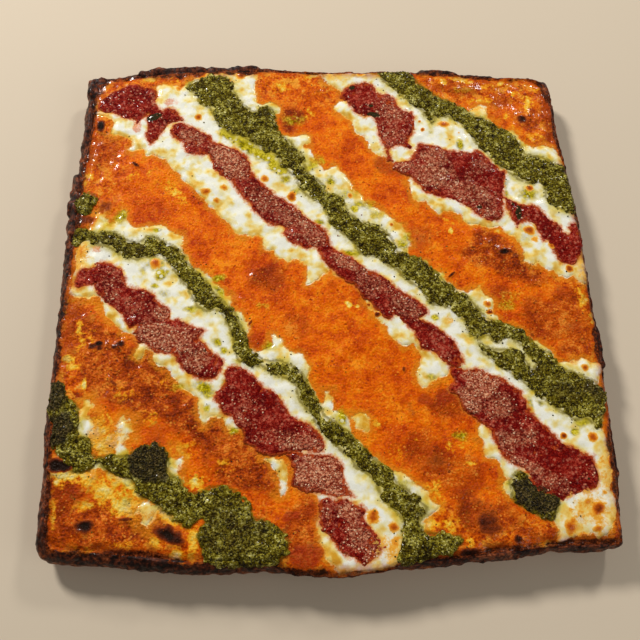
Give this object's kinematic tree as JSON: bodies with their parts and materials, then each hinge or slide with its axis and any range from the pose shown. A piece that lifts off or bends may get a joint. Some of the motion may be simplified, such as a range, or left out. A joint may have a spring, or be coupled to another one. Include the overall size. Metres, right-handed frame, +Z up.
{
  "type": "square pan pizza",
  "caption": "Square uncut pan pizza with a dark crust rim, an orange sauce-and-cheese top and diagonal bands of mozzarella, tomato sauce and basil pesto.",
  "frame": {"origin": "centre of the footprint on the underside of the crust", "axes": "+Z up through the pizza, +X to the right and -Y to the front as pictured, so the bands run from back left to front right"},
  "size_m": [0.3202, 0.3214, 0.0256],
  "materials": {
    "crust": "matte",
    "baked_cheese": "satin",
    "mozzarella": "satin",
    "tomato": "satin",
    "pesto": "satin"
  },
  "bodies": {
    "root": {"crust": "crust", "baked_cheese": "baked_cheese", "mozzarella_middle": "mozzarella", "mozzarella_right": "mozzarella", "mozzarella_left": "mozzarella", "mozzarella_corner": "mozzarella", "tomato_corner": "tomato", "tomato_middle": "tomato", "tomato_front_right": "tomato", "tomato_back": "tomato", "tomato_right": "tomato", "tomato_right_edge": "tomato", "tomato_left": "tomato", "tomato_left_middle": "tomato", "tomato_left_low": "tomato", "tomato_front": "tomato", "pesto_corner": "pesto", "pesto_edge": "pesto", "pesto_right": "pesto", "pesto_middle": "pesto", "pesto_middle_strand": "pesto", "pesto_left": "pesto", "pesto_burnt": "pesto"}
  },
  "joints": []
}
